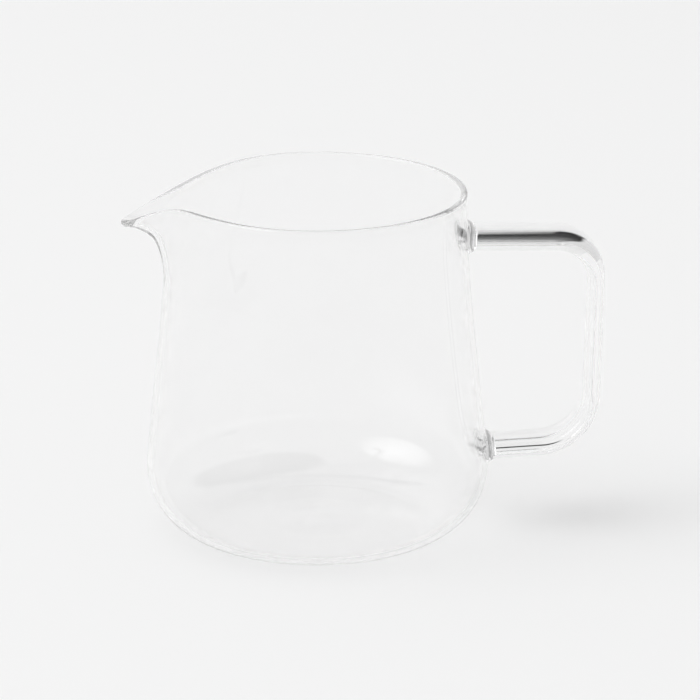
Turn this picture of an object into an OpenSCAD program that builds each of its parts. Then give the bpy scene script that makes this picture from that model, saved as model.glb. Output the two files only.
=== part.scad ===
// Glass coffee server: a blown jug that widens towards its base, with a spout pulled out of the rim
// and a flattened glass rod for a handle, fused to the wall at two flared welds.
// The origin is on the table, on the axis of the jug. The handle points along +X, the spout along -X.

/* [Jug] */
// Height of the rim above the table
jug_h = 97; // [85:1:125]
// Outside diameter at the widest place, just above the heel
belly_d = 95; // [84:1:115]
// Outside diameter of the rim
rim_d = 82.3; // [72:0.1:92]
// Outside radius of the rounded heel
heel_r = 18.5; // [12:0.5:22]
// Lean of the wall above the heel, in degrees towards the axis
wall_lean = 5; // [2:0.5:8]
// Thickness of the blown wall
wall_t = 1.7; // [1.2:0.1:2.2]
// Radius of the fire-polished bead round the rim
bead_r = 0.95; // [0.9:0.05:1.4]

/* [Base] */
// Radius of the shallow hollow under the base
punt_r = 18; // [12:1:24]
// Depth of the hollow under the base
punt_h = 0.8; // [0.3:0.1:1.5]
// Rise of the floor inside the jug over the hollow
floor_rise = 1.4; // [0.6:0.1:2.5]

/* [Spout] */
// How far the tip stands out past the middle of the rim's bead
spout_reach = 12.3; // [6:0.1:16]
// Half of the angle that the beak takes up, in degrees round the axis
beak_angle = 8; // [6:0.5:12]
// How far the tip lies below the rim
spout_droop = 7.4; // [2:0.1:9]
// How far the rim sags on both sides of the beak
spout_sag = 1; // [0:0.1:2]
// How far the rim is drawn in on both sides of the beak
spout_pinch = 2.7; // [0:0.1:3.5]
// Rise of the lip between the crease under the beak and the tip
lip_rise = 1.6; // [0.5:0.1:3]

/* [Handle] */
// Height of the rim above the middle of the upper arm
upper_arm_drop = 13.8; // [11:0.1:20]
// Height of the middle of the lower arm above the table, at the wall
lower_arm_z = 22.5; // [20:0.1:28]
// Slope of the upper arm on its way out, in degrees
upper_arm_slope = -0.9; // [-3:0.1:3]
// Slope of the lower arm on its way out, in degrees
lower_arm_slope = 2.9; // [0:0.1:5]
// Room for the fingers between the belly and the grip, at the upper corner
finger_gap = 26.9; // [24:0.1:36]
// Lean of the grip, in degrees towards the jug at its lower end
grip_lean = 1.1; // [0:0.1:3]
// Bend radius of the upper corner, at the middle of the glass
upper_bend_r = 11.3; // [8:0.1:14]
// Bend radius of the lower corner, at the middle of the glass
lower_bend_r = 15.4; // [10:0.1:18]
// Width of the flattened rod
rod_w = 13.5; // [9:0.1:16]
// Thickness of the upper arm
upper_arm_t = 6.7; // [5:0.1:8]
// Thickness of the grip, which is drawn thinner than the arms
grip_t = 5.1; // [4:0.1:7]
// Thickness of the lower arm
lower_arm_t = 5.9; // [4.5:0.1:8]
// Squareness of the rod's section, from an oval at 2 towards a box
rod_squareness = 2.4; // [2:0.1:4]

/* [Welds] */
// Length of each weld, from the wall to the plain rod
weld_l = 2.4; // [1.5:0.1:4]
// How far each weld spreads past the rod on the wall
weld_flare = 1.1; // [0.4:0.1:1.8]

/* [Hidden] */

// How far the drawn-in rim reaches round from the spout, in degrees
spout_spread = 84;
// How square the sides of the beak are, as an exponent
beak_power = 2.6;
// Lengths of the tangents that bend the wall's curve, as shares of its height
wall_pull_share = 0.33;
// Place on the wall's curve where the blown wall passes into the shaped neck
neck_share = 0.65;
// Length over which the wall swells into the bead
bead_swell = 1.5;
// How far the neck is let into the wall below it, and how far inside both of its faces it stays
neck_lap = 0.6;
neck_inset = 0.09;

heel_steps = 14;
wall_steps = 12;
floor_steps = 7;
neck_rows = 13;
// Rows crowd towards the bead by this power
row_power = 1.6;
bead_rows = 6;
half_columns = 48;
// Columns crowd towards the spout by this power
column_power = 1.4;
bend_steps = 11;
section_steps = 26;
weld_rows = 8;
// A small angle, for slopes taken between two close points
slope_angle = 0.05;

half_wall = wall_t / 2;
heel_axis_r = belly_d / 2 - heel_r;
rim_mid_r = rim_d / 2 - bead_r;
rim_mid_z = jug_h - bead_r;
upper_arm_z = jug_h - upper_arm_drop;
glass = [0.86, 0.91, 0.92, 0.45];
handle_glass = [0.8, 0.87, 0.89, 0.6];
weld_glass = [0.7, 0.8, 0.84, 0.75];

// Vectors and curves
function unit(v) = v / norm(v);
function mix(a, b, share) = a + (b - a) * share;
function ease(share) = share * share * (3 - 2 * share);
function polar(r, angle) = [r * cos(angle), r * sin(angle)];
function bezier(p, share) = pow(1 - share, 3) * p[0] + 3 * pow(1 - share, 2) * share * p[1]
    + 3 * (1 - share) * pow(share, 2) * p[2] + pow(share, 3) * p[3];
function bezier_slope(p, share) = pow(1 - share, 2) * (p[1] - p[0])
    + 2 * (1 - share) * share * (p[2] - p[1]) + pow(share, 2) * (p[3] - p[2]);
// The part of a curve that lies past a share of it
function bezier_tail(p, share) = [
    bezier(p, share),
    mix(mix(p[1], p[2], share), mix(p[2], p[3], share), share),
    mix(p[2], p[3], share),
    p[3]];

// The middle of the wall, in radius and height: an arc round the heel, then one curve up to the rim
heel_mid = [heel_axis_r, heel_r];
wall_start = heel_mid + polar(heel_r - half_wall, wall_lean);
wall_pull = (rim_mid_z - wall_start[1]) * wall_pull_share;
wall_curve = [
    wall_start,
    wall_start + wall_pull * [-sin(wall_lean), cos(wall_lean)],
    [rim_mid_r, rim_mid_z - wall_pull],
    [rim_mid_r, rim_mid_z]];
neck_curve = bezier_tail(wall_curve, neck_share);

// A point of the wall's faces: side is 1 on the outside and -1 inside
function wall_face(share, side) =
    let (d = unit(bezier_slope(wall_curve, share)))
    bezier(wall_curve, share) + side * half_wall * [d[1], -d[0]];
function heel_face(side) = [for (i = [0 : heel_steps - 1])
    heel_mid + polar(heel_r - half_wall + side * half_wall, mix(-90, wall_lean, i / heel_steps))];
function wall_faces(side, top_share) = [for (i = [0 : wall_steps])
    wall_face(top_share * i / wall_steps, side)];
// The hollow under the base and the floor over it share one smooth swell
function swell(low, rise) = [for (i = [0 : floor_steps])
    [punt_r * i / floor_steps, low + rise * (1 + cos(180 * i / floor_steps)) / 2]];
function reversed(list) = [for (i = [len(list) - 1 : -1 : 0]) list[i]];

// Outside radius of the jug at a height, for whatever is fused to the wall
outside_table = [for (p = wall_faces(1, 1)) [p[1], p[0]]];
function outside_r(z) = lookup(z, outside_table);

// The spout. Angles count from the middle of the beak, both ways round the axis.
function beak(angle) = 1 / (1 + pow(abs(angle) / beak_angle, beak_power));
function spread(angle) = min(abs(angle) / spout_spread, 1);
function sag(angle) = pow(cos(90 * spread(angle)), 2);
function pinch(angle) = 1.3 * sin(180 * spread(angle)) * cos(90 * spread(angle));
function rim_r(angle) = rim_mid_r + spout_reach * beak(angle) - spout_pinch * pinch(angle);
function rim_z(angle) = rim_mid_z - (spout_droop - spout_sag) * beak(angle) - spout_sag * sag(angle);
// One column of the neck, in radius and height: plain away from the spout, bent out to a lip in it
function neck_column(angle) =
    let (tip = [rim_r(angle), rim_z(angle)],
         plain = tip + neck_curve[2] - neck_curve[3],
         creased = [neck_curve[1][0], tip[1] - lip_rise])
    [neck_curve[0], neck_curve[1], mix(plain, creased, beak(angle)), tip];
function on_column(p, angle) = [-p[0] * cos(angle), -p[0] * sin(angle), p[1]];
function neck_mid(angle, share) = on_column(bezier(neck_column(angle), share), angle);
function neck_up(angle, share) = on_column(unit(bezier_slope(neck_column(angle), share)), angle);
function neck_out(angle, share) = unit(cross(
    neck_mid(angle + slope_angle, share) - neck_mid(angle - slope_angle, share),
    neck_up(angle, share)));
function neck_face(angle, share, side, inset) =
    let (from_end = (1 - share) * norm(neck_curve[3] - neck_curve[0]),
         swell = (bead_r - half_wall) * exp(-pow(from_end / bead_swell, 2)))
    neck_mid(angle, share) + side * (half_wall + swell - inset) * neck_out(angle, share);
// The lowest row is let into the wall below, so that the two overlap and nothing lies face to face
function neck_foot(angle, side) =
    neck_face(angle, 0, side, neck_inset) - neck_lap * neck_up(angle, 0);
// The bead goes round the end of the wall, from its outer face over the top to its inner face
function bead_point(angle, turn) =
    neck_mid(angle, 1) + bead_r * (cos(turn) * neck_out(angle, 1) + sin(turn) * neck_up(angle, 1));
function neck_side(angle, side) = [for (i = [1 : neck_rows - 1])
    neck_face(angle, 1 - pow(1 - i / neck_rows, row_power), side, i == 1 ? neck_inset : 0)];
function neck_ring(angle) = concat(
    [neck_foot(angle, 1)],
    neck_side(angle, 1),
    [for (i = [0 : bead_rows]) bead_point(angle, 180 * i / bead_rows)],
    reversed(neck_side(angle, -1)),
    [neck_foot(angle, -1)]);
function column_angle(i) = let (share = abs(i) / half_columns)
    (i < 0 ? -1 : 1) * 180 * pow(share, column_power);

// Skins between rings of as many points each, closed round or capped at both ends
function band_faces(rings, points, closed) = [
    for (i = [0 : rings - (closed ? 1 : 2)], j = [0 : points - 1])
        let (i2 = (i + 1) % rings, j2 = (j + 1) % points,
             a = i * points + j, b = i * points + j2, c = i2 * points + j2, d = i2 * points + j)
        each [[a, b, c], [a, c, d]]];
module ring_skin(rings) {
    points = len(rings[0]);
    polyhedron([for (r = rings) each r], band_faces(len(rings), points, true));
}
module capped_skin(rings) {
    points = len(rings[0]);
    last = len(rings) * points;
    polyhedron([for (r = rings) each r], concat(
        band_faces(len(rings), points, false),
        [[for (j = [points - 1 : -1 : 0]) j]],
        [[for (j = [0 : points - 1]) last - points + j]]));
}

module jug_outside() {
    rotate_extrude($fn = 120)
        polygon(concat([[0, 0]], heel_face(1), wall_faces(1, 1), [[0, jug_h]]));
}

module lower_jug() {
    rotate_extrude($fn = 120)
        polygon(concat(
            swell(0, punt_h),
            heel_face(1),
            wall_faces(1, neck_share),
            reversed(wall_faces(-1, neck_share)),
            reversed(heel_face(-1)),
            reversed(swell(wall_t, floor_rise))));
}

module neck_and_spout() {
    ring_skin([for (i = [1 - half_columns : half_columns]) neck_ring(column_angle(i))]);
}

module vessel() {
    color(glass)
        union() {
            lower_jug();
            neck_and_spout();
        }
}

// The rod's middle line, in radius and height. A direction is an angle above the way outwards.
upper_seat = [outside_r(upper_arm_z), upper_arm_z];
lower_seat = [outside_r(lower_arm_z), lower_arm_z];
grip_way = -90 - grip_lean;
back_way = lower_arm_slope - 180;
grip_top = [belly_d / 2 + finger_gap + grip_t / 2, upper_arm_z];
function crossing(p, p_way, q, q_way) =
    let (w = q - p, away = [sin(q_way), -cos(q_way)])
    p + polar((w * away) / (polar(1, p_way) * away), p_way);
upper_corner = crossing(upper_seat, upper_arm_slope, grip_top, grip_way);
lower_corner = crossing(lower_seat, lower_arm_slope, grip_top, grip_way);
function bend_axis(corner, way_in, way_out, r) =
    corner - polar(r * tan((way_in - way_out) / 2), way_in) + polar(r, way_in - 90);
upper_bend_axis = bend_axis(upper_corner, upper_arm_slope, grip_way, upper_bend_r);
lower_bend_axis = bend_axis(lower_corner, grip_way, back_way, lower_bend_r);
// Each station is its middle, its direction and its thickness
function bend(axis, way_in, way_out, r, t_in, t_out) = [for (i = [0 : bend_steps])
    let (share = i / bend_steps, way = mix(way_in, way_out, share))
    [axis + polar(r, way + 90), way, mix(t_in, t_out, ease(share))]];
function rod_stations() = concat(
    [[upper_seat + polar(weld_l, upper_arm_slope), upper_arm_slope, upper_arm_t]],
    bend(upper_bend_axis, upper_arm_slope, grip_way, upper_bend_r, upper_arm_t, grip_t),
    bend(lower_bend_axis, grip_way, back_way, lower_bend_r, grip_t, lower_arm_t),
    [[lower_seat + polar(weld_l, lower_arm_slope), back_way, lower_arm_t]]);
// The flattened rod's section is an oval, squared a little
function squared(value) = sign(value) * pow(abs(value), 2 / rod_squareness);
function rod_ring(middle, way, t, w) = [
    for (i = [0 : section_steps - 1])
        let (turn = 360 * i / section_steps,
             p = middle + polar(t / 2 * squared(sin(turn)), way + 90))
        [p[0], w / 2 * squared(cos(turn)), p[1]]];

module handle() {
    color(handle_glass)
        capped_skin([for (s = rod_stations()) rod_ring(s[0], s[1], s[2], rod_w)]);
}

// A weld grows out of the rod and spreads on the wall, and the jug's own outside trims it
module weld(seat, slope, t) {
    difference() {
        capped_skin([for (i = [0 : weld_rows])
            let (out = mix(-wall_t, weld_l, i / weld_rows),
                 spread_out = weld_flare * pow(min(1 - out / weld_l, 1), 2))
            rod_ring(seat + polar(out, slope), slope, t + 2 * spread_out, rod_w + 2 * spread_out)]);
        jug_outside();
    }
}

module upper_handle_weld() {
    color(weld_glass) weld(upper_seat, upper_arm_slope, upper_arm_t);
}

module lower_handle_weld() {
    color(weld_glass) weld(lower_seat, lower_arm_slope, lower_arm_t);
}

vessel();
handle();
upper_handle_weld();
lower_handle_weld();
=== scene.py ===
# A clear glass coffee server on a pale studio table.
# The shapes are worked out in millimetres, and writePiece turns them into metres.
import math

import bmesh
import bpy
from mathutils import Matrix, Vector


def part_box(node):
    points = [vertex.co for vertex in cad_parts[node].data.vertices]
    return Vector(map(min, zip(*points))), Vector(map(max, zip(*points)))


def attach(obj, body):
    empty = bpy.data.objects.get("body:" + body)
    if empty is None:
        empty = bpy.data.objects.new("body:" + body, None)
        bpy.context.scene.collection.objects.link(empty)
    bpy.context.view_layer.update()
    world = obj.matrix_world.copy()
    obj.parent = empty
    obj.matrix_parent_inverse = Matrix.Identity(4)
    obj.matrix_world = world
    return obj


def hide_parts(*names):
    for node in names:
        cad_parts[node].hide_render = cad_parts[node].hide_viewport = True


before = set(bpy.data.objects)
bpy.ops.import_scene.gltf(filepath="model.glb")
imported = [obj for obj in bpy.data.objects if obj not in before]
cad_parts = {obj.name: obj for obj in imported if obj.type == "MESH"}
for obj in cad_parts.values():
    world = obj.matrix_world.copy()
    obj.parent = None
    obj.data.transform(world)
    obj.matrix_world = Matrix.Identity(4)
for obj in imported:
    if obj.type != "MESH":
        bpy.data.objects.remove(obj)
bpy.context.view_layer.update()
print("frame loaded:", ", ".join(sorted(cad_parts)))

scene = bpy.context.scene
millimetre = 0.001
up = Vector((0, 0, 1))


# Small helpers

def nodeBox(node):
    low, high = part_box(node)
    return low / millimetre, high / millimetre


def mix(a, b, share):
    return a + (b - a) * share


def polar(radius, degrees):
    return Vector((radius * math.cos(math.radians(degrees)), 0, radius * math.sin(math.radians(degrees))))


def bezier(p, share):
    back = 1 - share
    return p[0] * back**3 + p[1] * (3 * back**2 * share) + p[2] * (3 * back * share**2) + p[3] * share**3


def bezierSlope(p, share):
    back = 1 - share
    slope = (p[1] - p[0]) * back**2 + (p[2] - p[1]) * (2 * back * share) + (p[3] - p[2]) * share**2
    return slope.normalized()


def bezierTail(p, share):
    # the part of the curve past this share of it
    middle, high = mix(p[1], p[2], share), mix(p[2], p[3], share)
    return [bezier(p, share), mix(middle, high, share), high, p[3]]


def hexToLinear(text):
    values = [int(text[i:i + 2], 16) / 255 for i in (1, 3, 5)]
    return [v / 12.92 if v <= 0.04045 else ((v + 0.055) / 1.055) ** 2.4 for v in values] + [1]


def addNode(tree, kind, settings=None, links=None):
    # settings go to the node's own properties or to its sockets, links to its sockets
    node = tree.nodes.new(kind)
    for name, value in (settings or {}).items():
        if isinstance(name, str) and hasattr(node, name):
            setattr(node, name, value)
        else:
            node.inputs[name].default_value = value
    for name, socket in (links or {}).items():
        tree.links.new(socket, node.inputs[name])
    return node


def newMaterial(name):
    material = bpy.data.materials.new(name)
    material.use_nodes = True
    material.node_tree.nodes.clear()
    return material, material.node_tree


def writePiece(name, bm, materials):
    bmesh.ops.scale(bm, vec=(millimetre,) * 3, verts=bm.verts)
    mesh = bpy.data.meshes.new(name)
    bm.to_mesh(mesh)
    bm.free()
    for material in materials:
        mesh.materials.append(material)
    mesh.shade_smooth()
    piece = bpy.data.objects.new(name, mesh)
    scene.collection.objects.link(piece)
    return piece


def cutAway(piece, cutter):
    # takes the cutter out of the piece, whose new faces keep the cutter's material number
    cut = piece.modifiers.new("cut", "BOOLEAN")
    cut.operation = "DIFFERENCE"
    cut.solver = "EXACT"
    cut.object = cutter
    cut.material_mode = "INDEX"
    bpy.context.view_layer.update()
    shaped = piece.evaluated_get(bpy.context.evaluated_depsgraph_get())
    mesh = bpy.data.meshes.new_from_object(shaped)
    piece.modifiers.clear()
    piece.data = mesh
    mesh.name = piece.name


# Borosilicate glass, blown and fire-polished: colourless, and its gloss and bending of light give its shape

glassFinish = {
    "tint": "#fefefe",
    "ior": 1.473,
    "lampBlend": 0.12,
    "turns": 10,
    "dimmed": "#e0e0e0",
}


def borosilicateGlass(name, lampFace, lampEdge):
    material, tree = newMaterial(name)
    glass = addNode(tree, "ShaderNodeBsdfPrincipled", {
        "Base Color": hexToLinear(glassFinish["tint"]),
        "Roughness": 0,
        "IOR": glassFinish["ior"],
        "Transmission Weight": 1,
    })
    # light between a lamp and the table goes straight on: nearly all of it where the glass faces it,
    # less at the edges
    edge = addNode(tree, "ShaderNodeLayerWeight", {"Blend": glassFinish["lampBlend"]})
    passed = addNode(tree, "ShaderNodeMix", {
        "data_type": "RGBA",
        6: hexToLinear(lampFace),
        7: hexToLinear(lampEdge),
    }, {0: edge.outputs["Facing"]})
    straight = addNode(tree, "ShaderNodeBsdfTransparent", links={"Color": passed.outputs[2]})
    ray = addNode(tree, "ShaderNodeLightPath")
    toLamp = addNode(tree, "ShaderNodeMath", {"operation": "MAXIMUM"}, {
        0: ray.outputs["Is Shadow Ray"],
        1: ray.outputs["Is Diffuse Ray"],
    })
    # light caught inside the rim or the rod comes out dimmed, after many turns
    caught = addNode(tree, "ShaderNodeMath", {"operation": "GREATER_THAN", 1: glassFinish["turns"]}, {
        0: ray.outputs["Ray Depth"],
    })
    dimmed = addNode(tree, "ShaderNodeBsdfTransparent", {"Color": hexToLinear(glassFinish["dimmed"])})
    seen = addNode(tree, "ShaderNodeMixShader", links={
        0: caught.outputs[0],
        1: glass.outputs["BSDF"],
        2: dimmed.outputs["BSDF"],
    })
    either = addNode(tree, "ShaderNodeMixShader", links={
        0: toLamp.outputs[0],
        1: seen.outputs["Shader"],
        2: straight.outputs["BSDF"],
    })
    addNode(tree, "ShaderNodeOutputMaterial", links={"Surface": either.outputs["Shader"]})
    return material


def fusedBoundary(name):
    # the seam inside a weld, where glass passes into glass: light goes straight on
    material, tree = newMaterial(name)
    clear = addNode(tree, "ShaderNodeBsdfTransparent", {"Color": (1, 1, 1, 1)})
    addNode(tree, "ShaderNodeOutputMaterial", links={"Surface": clear.outputs["BSDF"]})
    return material


jugGlass = borosilicateGlass("blownBorosilicateGlass", "#ffffff", "#ececec")
handleGlass = borosilicateGlass("drawnBorosilicateGlass", "#d8d8d8", "#909090")
fusedSeam = fusedBoundary("fusedGlassSeam")
print("materials made")


# Blender's own settings for the shapes, in millimetres and degrees

mergeReach = 1e-4
sharpAngle = 38
# the seam is the second material of every piece
seamNumber = 1


# The jug: a section spun round the axis, whose upper part is then pulled out into the spout

jugHigh = nodeBox("vessel")[1]
jug = {
    "height": jugHigh.z,
    "bellyRadius": jugHigh.y,
    "rimRadius": 41.15,
    "heelRadius": 18.5,
    "wallLean": 5,
    "wall": 1.7,
    "bead": 0.95,
    "beadSwell": 1.5,
    "wallPull": 0.33,
    "neckStart": 0.65,
    "puntRadius": 18,
    "puntDepth": 0.8,
    "floorRise": 1.4,
    "columns": 320,
    "crowding": 1.4,
    "rimCrowding": 1.3,
    "sectionSteps": {"hollow": 16, "heel": 24, "lower": 20, "neck": 34, "bead": 16},
}
spout = {
    "reach": 12.3,
    "halfAngle": 8,
    "squareness": 2.6,
    "droop": 7.4,
    "sag": 1,
    "pinch": 2.7,
    "pinchPeak": 1.3,
    "spread": 84,
    "lipRise": 1.6,
}

halfWall = jug["wall"] / 2
heelAxis = Vector((jug["bellyRadius"] - jug["heelRadius"], 0, jug["heelRadius"]))
rimMiddle = Vector((jug["rimRadius"] - jug["bead"], 0, jug["height"] - jug["bead"]))
wallStart = heelAxis + polar(jug["heelRadius"] - halfWall, jug["wallLean"])
wallPull = (rimMiddle.z - wallStart.z) * jug["wallPull"]
wallCurve = [
    wallStart,
    wallStart + polar(wallPull, 90 + jug["wallLean"]),
    rimMiddle - wallPull * up,
    rimMiddle,
]
neckCurve = bezierTail(wallCurve, jug["neckStart"])


def beak(angle):
    return 1 / (1 + (abs(angle) / spout["halfAngle"]) ** spout["squareness"])


def rimPoint(angle):
    # the middle of the bead, in radius and height, at this angle from the spout
    around = min(abs(angle) / spout["spread"], 1)
    pinch = spout["pinchPeak"] * math.sin(math.pi * around) * math.cos(math.pi / 2 * around)
    sag = spout["sag"] * math.cos(math.pi / 2 * around) ** 2
    out = spout["reach"] * beak(angle) - spout["pinch"] * pinch
    down = (spout["droop"] - spout["sag"]) * beak(angle) + sag
    return rimMiddle + Vector((out, 0, -down))


def neckColumn(angle):
    # plain away from the spout, bent out to a lip in it
    tip = rimPoint(angle)
    plain = tip + neckCurve[2] - neckCurve[3]
    creased = Vector((neckCurve[1].x, 0, tip.z - spout["lipRise"]))
    return [neckCurve[0], neckCurve[1], mix(plain, creased, beak(angle)), tip]


def turned(point, angle):
    # angles count from the spout, which points along -X
    return Matrix.Rotation(math.radians(180 + angle), 3, "Z") @ point


def neckFrame(angle, share):
    # a point in the middle of the wall, with its outward and upward directions
    step = 0.02
    column = neckColumn(angle)
    middle = turned(bezier(column, share), angle)
    upward = turned(bezierSlope(column, share), angle)
    after = turned(bezier(neckColumn(angle + step), share), angle + step)
    before = turned(bezier(neckColumn(angle - step), share), angle - step)
    return middle, (after - before).cross(upward).normalized(), upward


def wallSection():
    # the section from the outside of the base, over the rim and down to the floor inside: each
    # station has a plain place, a share of the neck's curve, and offsets outward and upward from it
    def plain(point):
        return point, -1, 0, 0

    def swell(low, rise):
        steps = jug["sectionSteps"]["hollow"]
        for i in range(steps):
            share = i / steps
            height = low + rise * (1 + math.cos(math.pi * share)) / 2
            yield plain(Vector((jug["puntRadius"] * share, 0, height)))
        yield plain(Vector((jug["puntRadius"], 0, low)))

    def heel(radius):
        steps = jug["sectionSteps"]["heel"]
        for i in range(steps):
            yield plain(heelAxis + polar(radius, mix(-90, jug["wallLean"], i / steps)))

    def lowerWall(side):
        steps = jug["sectionSteps"]["lower"]
        for i in range(steps):
            share = jug["neckStart"] * i / steps
            slope = bezierSlope(wallCurve, share)
            yield plain(bezier(wallCurve, share) + side * halfWall * Vector((slope.z, 0, -slope.x)))

    def neckWall(side):
        steps = jug["sectionSteps"]["neck"]
        length = (neckCurve[3] - neckCurve[0]).length
        for i in range(steps):
            share = 1 - (1 - i / steps) ** jug["rimCrowding"]
            fromEnd = length * (1 - share)
            thick = halfWall + (jug["bead"] - halfWall) * math.exp(-(fromEnd / jug["beadSwell"]) ** 2)
            yield bezier(neckCurve, share), share, side * thick, 0

    def bead():
        steps = jug["sectionSteps"]["bead"]
        for i in range(steps + 1):
            turn = math.pi * i / steps
            yield neckCurve[3], 1, jug["bead"] * math.cos(turn), jug["bead"] * math.sin(turn)

    yield from swell(0, jug["puntDepth"])
    yield from heel(jug["heelRadius"])
    yield from lowerWall(1)
    yield from neckWall(1)
    yield from bead()
    yield from reversed(list(neckWall(-1)))
    yield from reversed(list(lowerWall(-1)))
    yield from reversed(list(heel(jug["heelRadius"] - jug["wall"])))
    yield from reversed(list(swell(jug["wall"], jug["floorRise"])))


def makeJug():
    bm = bmesh.new()
    shareOf = bm.verts.layers.float.new("neckShare")
    outOf = bm.verts.layers.float.new("outward")
    upOf = bm.verts.layers.float.new("upward")
    section = []
    for place, share, out, upward in wallSection():
        corner = bm.verts.new((-place.x, 0, place.z))
        corner[shareOf], corner[outOf], corner[upOf] = share, out, upward
        section.append(corner)
    lines = [bm.edges.new(pair) for pair in zip(section, section[1:])]
    bmesh.ops.spin(bm, geom=section + lines, cent=(0, 0, 0), axis=(0, 0, 1), angle=2 * math.pi,
                   steps=jug["columns"], use_merge=True)
    # the columns crowd towards the spout, and those of the neck take its shape
    for corner in bm.verts:
        if math.hypot(corner.co.x, corner.co.y) < mergeReach:
            continue
        angle = math.degrees(math.atan2(-corner.co.y, -corner.co.x))
        angle = math.copysign(180 * (abs(angle) / 180) ** jug["crowding"], angle)
        if corner[shareOf] < 0:
            corner.co = turned(Vector((math.hypot(corner.co.x, corner.co.y), 0, corner.co.z)), angle)
        else:
            middle, outward, upward = neckFrame(angle, corner[shareOf])
            corner.co = middle + outward * corner[outOf] + upward * corner[upOf]
    bmesh.ops.remove_doubles(bm, verts=bm.verts, dist=mergeReach)
    bmesh.ops.recalc_face_normals(bm, faces=bm.faces)
    return writePiece("blownJug", bm, [jugGlass, fusedSeam])


def makeJugCore(inset):
    # the jug's outside as one solid block, a hair smaller, to seat the welds in
    bm = bmesh.new()
    places = [place for place, share, out, upward in wallSection() if share < 0]
    steps = jug["sectionSteps"]["lower"]
    outside = places[:len(places) // 2] + [
        bezier(neckCurve, i / steps) + polar(halfWall, 0) for i in range(steps + 1)]
    section = [bm.verts.new((max(p.x - inset, 0), 0, p.z)) for p in outside]
    section.append(bm.verts.new((0, 0, jug["height"])))
    lines = [bm.edges.new(pair) for pair in zip(section, section[1:])]
    bmesh.ops.spin(bm, geom=section + lines, cent=(0, 0, 0), axis=(0, 0, 1), angle=2 * math.pi,
                   steps=jug["columns"], use_merge=True)
    bmesh.ops.remove_doubles(bm, verts=bm.verts, dist=mergeReach)
    bmesh.ops.recalc_face_normals(bm, faces=bm.faces)
    for face in bm.faces:
        face.material_index = seamNumber
    return writePiece("jugCore", bm, [jugGlass, fusedSeam])


blownJug = makeJug()
print("jug blown:", len(blownJug.data.polygons), "faces")


# The handle: a flattened rod, extruded station by station along its middle line

rod = {
    "width": 13.5,
    "upperArm": 6.7,
    "grip": 5.1,
    "lowerArm": 5.9,
    "squareness": 2.4,
    "upperDrop": 13.8,
    "lowerHeight": 22.5,
    "upperSlope": -0.9,
    "lowerSlope": 2.9,
    "fingerGap": 26.9,
    "gripLean": 1.1,
    "upperBend": 11.3,
    "lowerBend": 15.4,
    "sectionSteps": 56,
    "bendSteps": 40,
    "straightSteps": 24,
}
weld = {
    "length": 2.4,
    "flare": 1.1,
    "depth": 1.2,
    "seat": 0.04,
    "steps": 28,
}


def outsideRadius(height):
    # the wall's outside at this height, found by halving the curve
    low, high, halvings = 0.0, 1.0, 40
    for _ in range(halvings):
        share = (low + high) / 2
        if bezier(wallCurve, share).z < height:
            low = share
        else:
            high = share
    slope = bezierSlope(wallCurve, share)
    return bezier(wallCurve, share).x + halfWall * slope.z


def crossing(p, pWay, q, qWay):
    # where the line through p and the line through q meet
    along, other = polar(1, pWay), polar(1, qWay)
    away = Vector((other.z, 0, -other.x))
    return p + along * ((q - p).dot(away) / along.dot(away))


def bendAxis(corner, wayIn, wayOut, radius):
    # the middle of the bend that rounds this corner off
    cutBack = radius * math.tan(math.radians(wayIn - wayOut) / 2)
    return corner - polar(cutBack, wayIn) + polar(radius, wayIn - 90)


upperHeight = jug["height"] - rod["upperDrop"]
upperSeat = Vector((outsideRadius(upperHeight), 0, upperHeight))
lowerSeat = Vector((outsideRadius(rod["lowerHeight"]), 0, rod["lowerHeight"]))
gripWay = -90 - rod["gripLean"]
backWay = rod["lowerSlope"] - 180
gripTop = Vector((jug["bellyRadius"] + rod["fingerGap"] + rod["grip"] / 2, 0, upperHeight))


def rodStations():
    # each station has its middle, its direction in degrees and its thickness
    upperCorner = crossing(upperSeat, rod["upperSlope"], gripTop, gripWay)
    lowerCorner = crossing(lowerSeat, rod["lowerSlope"], gripTop, gripWay)
    upperAxis = bendAxis(upperCorner, rod["upperSlope"], gripWay, rod["upperBend"])
    lowerAxis = bendAxis(lowerCorner, gripWay, backWay, rod["lowerBend"])

    def bend(axis, ways, radius, thicks):
        for i in range(rod["bendSteps"] + 1):
            share = i / rod["bendSteps"]
            way = mix(*ways, share)
            eased = share * share * (3 - 2 * share)
            yield axis + polar(radius, way + 90), way, mix(*thicks, eased)

    def straight(start, end, way, thick):
        for i in range(rod["straightSteps"]):
            yield mix(start, end, i / rod["straightSteps"]), way, thick

    upperWays, upperThicks = (rod["upperSlope"], gripWay), (rod["upperArm"], rod["grip"])
    lowerWays, lowerThicks = (gripWay, backWay), (rod["grip"], rod["lowerArm"])
    upperBend = list(bend(upperAxis, upperWays, rod["upperBend"], upperThicks))
    lowerBend = list(bend(lowerAxis, lowerWays, rod["lowerBend"], lowerThicks))
    upperEnd = upperSeat + polar(weld["length"], rod["upperSlope"])
    lowerEnd = lowerSeat + polar(weld["length"], rod["lowerSlope"])
    yield from straight(upperEnd, upperBend[0][0], rod["upperSlope"], rod["upperArm"])
    yield from upperBend
    yield from list(straight(upperBend[-1][0], lowerBend[0][0], gripWay, rod["grip"]))[1:]
    yield from lowerBend
    yield from list(straight(lowerBend[-1][0], lowerEnd, backWay, rod["lowerArm"]))[1:]
    yield lowerEnd, backWay, rod["lowerArm"]


def squared(value):
    return math.copysign(abs(value) ** (2 / rod["squareness"]), value)


def sectionPoint(turn, middle, way, thick, width):
    # an oval, squared a little; turn goes once round it
    across = Vector((0, width / 2 * squared(math.cos(turn)), 0))
    return middle + across + polar(thick / 2 * squared(math.sin(turn)), way + 90)


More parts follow.
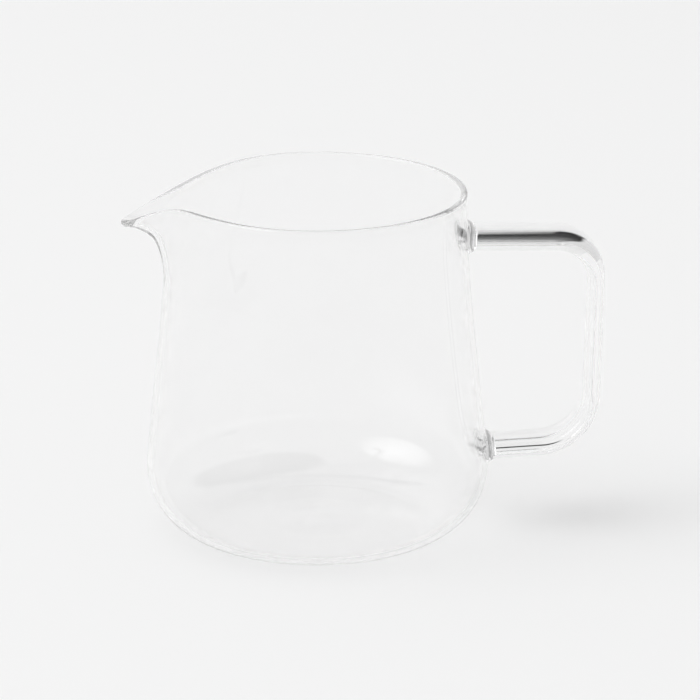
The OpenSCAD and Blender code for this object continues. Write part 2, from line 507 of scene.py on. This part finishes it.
def sweep(name, stations):
    # a ring of points, extruded from station to station and set to the section there
    bm = bmesh.new()
    turnOf = bm.verts.layers.float.new("turn")
    ring = bmesh.ops.create_circle(bm, segments=rod["sectionSteps"], radius=1)["verts"]
    for corner in ring:
        corner[turnOf] = math.atan2(corner.co.y, corner.co.x)
    edges = list(bm.edges)
    ends = [edges]
    for count, station in enumerate(stations):
        if count:
            made = bmesh.ops.extrude_edge_only(bm, edges=edges)["geom"]
            ring = [g for g in made if isinstance(g, bmesh.types.BMVert)]
            edges = [g for g in made if isinstance(g, bmesh.types.BMEdge)]
        for corner in ring:
            corner.co = sectionPoint(corner[turnOf], *station)
    ends.append(edges)
    for loop in ends:
        for face in bmesh.ops.contextual_create(bm, geom=loop)["faces"]:
            face.material_index = seamNumber
    bmesh.ops.recalc_face_normals(bm, faces=bm.faces)
    return writePiece(name, bm, [handleGlass, fusedSeam])


rodHandle = sweep("rodHandle", [(*station, rod["width"]) for station in rodStations()])
print("handle drawn:", len(rodHandle.data.polygons), "faces")


def weldStations(seat, slope, thick):
    for i in range(weld["steps"] + 1):
        out = mix(-weld["depth"], weld["length"], i / weld["steps"])
        spread = weld["flare"] * min(1 - out / weld["length"], 1) ** 2
        yield seat + polar(out, slope), slope, thick + 2 * spread, rod["width"] + 2 * spread


# the jug's block shapes each weld's inner end, and the welds are then let into the jug's wall
jugCore = makeJugCore(weld["seat"])
upperWeld = sweep("upperWeld", weldStations(upperSeat, rod["upperSlope"], rod["upperArm"]))
lowerWeld = sweep("lowerWeld", weldStations(lowerSeat, rod["lowerSlope"], rod["lowerArm"]))
for collar in (upperWeld, lowerWeld):
    cutAway(collar, jugCore)
    cutAway(blownJug, collar)
bpy.data.objects.remove(jugCore)
for piece in (blownJug, rodHandle, upperWeld, lowerWeld):
    piece.data.shade_smooth()
    piece.data.set_sharp_from_angle(angle=math.radians(sharpAngle))
print("welds seated:", len(upperWeld.data.polygons), "and", len(lowerWeld.data.polygons), "faces")

for piece, node, slot in (
    (blownJug, "vessel", "jug_glass"),
    (rodHandle, "handle", "handle_glass"),
    (upperWeld, "upper_handle_weld", "handle_glass"),
    (lowerWeld, "lower_handle_weld", "handle_glass"),
):
    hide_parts(node)
    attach(piece, "root")


# The studio: a pale round table in a bright room, with a dark beam and a dark rail overhead and two lamps

studio = {
    "table": "#f4f4f4",
    "tableRadius": 700,
    "tableSides": 256,
    "tableDrop": 0.1,
    "nearSide": "#d4d4d4",
    "farSide": "#f3f3f3",
    "farRound": 150,
    "farUp": 20,
    "dark": "#2a2a2a",
}
# the beam is seen in the handle's upper arm and the rail in its lower arm: ovals in the sky's x and y,
# where the zenith is 0 and the horizon 1
beam = {"middle": (0.35, 0.096), "reach": (0.347, 0.545), "turn": -27.6, "edge": 0.08}
rail = {"middle": (-0.08, 0.592), "reach": (0.36, 0.043), "turn": 0, "edge": 0.2}
# each lamp's direction is seen from the server: degrees round from the handle, and up from the table;
# the window's narrow spread makes it fade towards its edge
windowLamp = {"round": 195, "up": 39, "distance": 6000, "size": (7000, 4400), "power": 18, "spread": 62}
tableLamp = {"round": 195, "up": 65, "distance": 6000, "size": (6000, 6000), "power": 109, "spread": 180}


def makeTable():
    bm = bmesh.new()
    place = Matrix.Translation((0, 0, -studio["tableDrop"]))
    bmesh.ops.create_circle(bm, cap_ends=True, segments=studio["tableSides"], radius=studio["tableRadius"],
                            matrix=place)
    material, tree = newMaterial("paleTable")
    matt = addNode(tree, "ShaderNodeBsdfDiffuse", {"Color": hexToLinear(studio["table"])})
    addNode(tree, "ShaderNodeOutputMaterial", links={"Surface": matt.outputs["BSDF"]})
    writePiece("table", bm, [material])


def fadeNode(tree, value, start, end):
    fade = addNode(tree, "ShaderNodeMapRange", {
        "interpolation_type": "SMOOTHSTEP",
        "From Min": start,
        "From Max": end,
    }, {"Value": value})
    return fade.outputs["Result"]


def makeSurround():
    world = bpy.data.worlds.new("surround")
    scene.world = world
    world.use_nodes = True
    tree = world.node_tree
    tree.nodes.clear()
    toSky = addNode(tree, "ShaderNodeTexCoord").outputs["Generated"]
    farWay = Matrix.Rotation(math.radians(studio["farRound"]), 3, "Z") @ polar(1, studio["farUp"])
    towards = addNode(tree, "ShaderNodeVectorMath", {"operation": "DOT_PRODUCT", 1: farWay}, {0: toSky})
    colour = addNode(tree, "ShaderNodeMix", {
        "data_type": "RGBA",
        6: hexToLinear(studio["nearSide"]),
        7: hexToLinear(studio["farSide"]),
    }, {0: fadeNode(tree, towards.outputs["Value"], -1, 1)})
    for oval in (beam, rail):
        place = addNode(tree, "ShaderNodeMapping", {
            "vector_type": "TEXTURE",
            "Location": (*oval["middle"], 0),
            "Rotation": (0, 0, math.radians(oval["turn"])),
            "Scale": (*oval["reach"], 0),
        }, {"Vector": toSky})
        away = addNode(tree, "ShaderNodeVectorMath", {"operation": "LENGTH"}, {0: place.outputs["Vector"]})
        colour = addNode(tree, "ShaderNodeMix", {
            "data_type": "RGBA",
            6: hexToLinear(studio["dark"]),
        }, {
            0: fadeNode(tree, away.outputs["Value"], 1 - oval["edge"], 1 + oval["edge"]),
            7: colour.outputs[2],
        })
    sky = addNode(tree, "ShaderNodeBackground", {"Strength": 1}, {"Color": colour.outputs[2]})
    addNode(tree, "ShaderNodeOutputWorld", links={"Surface": sky.outputs[0]})


def makeLamp(name, settings):
    light = bpy.data.lights.new(name, "AREA")
    light.shape = "ELLIPSE"
    light.size, light.size_y = (side * millimetre for side in settings["size"])
    light.energy = settings["power"]
    light.spread = math.radians(settings["spread"])
    lamp = bpy.data.objects.new(name, light)
    turn = Matrix.Rotation(math.radians(settings["round"]), 3, "Z")
    place = turn @ polar(settings["distance"], settings["up"])
    lamp.location = place * millimetre
    lamp.rotation_euler = place.to_track_quat("Z", "Y").to_euler()
    scene.collection.objects.link(lamp)
    return lamp


makeTable()
makeSurround()
makeLamp("windowLamp", windowLamp)
# the photograph shows one window in the glass, so the table's own lamp is kept out of it
onTable = makeLamp("tableLamp", tableLamp)
onTable.visible_glossy = onTable.visible_transmission = False
print("studio lit")


# The camera, from where the base's centre lies in the photograph

view = {
    "imageSize": 700,
    "basePixel": (317.6, 523.9),
    "pixelsPerMm": 3.57,
    "distance": 1100,
    "pitch": 17.83,
    "handleTurn": 3,
    "sensor": 36,
    "clipEnd": 20000,
}


def makeCamera():
    focal = view["pixelsPerMm"] * view["distance"]
    pitch = math.radians(view["pitch"])
    middle = view["imageSize"] / 2
    base = Vector((
        (view["basePixel"][0] - middle) / view["pixelsPerMm"],
        (view["basePixel"][1] - middle) / view["pixelsPerMm"],
        view["distance"],
    ))
    right = Vector((1, 0, 0))
    down = Vector((0, -math.sin(pitch), -math.cos(pitch)))
    forward = Vector((0, math.cos(pitch), -math.sin(pitch)))
    place = -(right * base.x + down * base.y + forward * base.z)
    lens = bpy.data.cameras.new("camera")
    lens.sensor_width = view["sensor"]
    lens.lens = view["sensor"] * focal / view["imageSize"]
    lens.clip_end = view["clipEnd"] * millimetre
    camera = bpy.data.objects.new("camera", lens)
    turn = Matrix.Rotation(math.radians(-view["handleTurn"]), 4, "Z")
    axes = Matrix((right, -down, -forward)).transposed().to_4x4()
    camera.matrix_world = turn @ Matrix.Translation(place * millimetre) @ axes
    scene.collection.objects.link(camera)
    scene.camera = camera


makeCamera()
scene.view_settings.view_transform = "Standard"
# light turns many times inside the rim and the rod before it comes out
for kind in ("max_bounces", "glossy_bounces", "transmission_bounces", "transparent_max_bounces"):
    setattr(scene.cycles, kind, 2 * glassFinish["turns"])
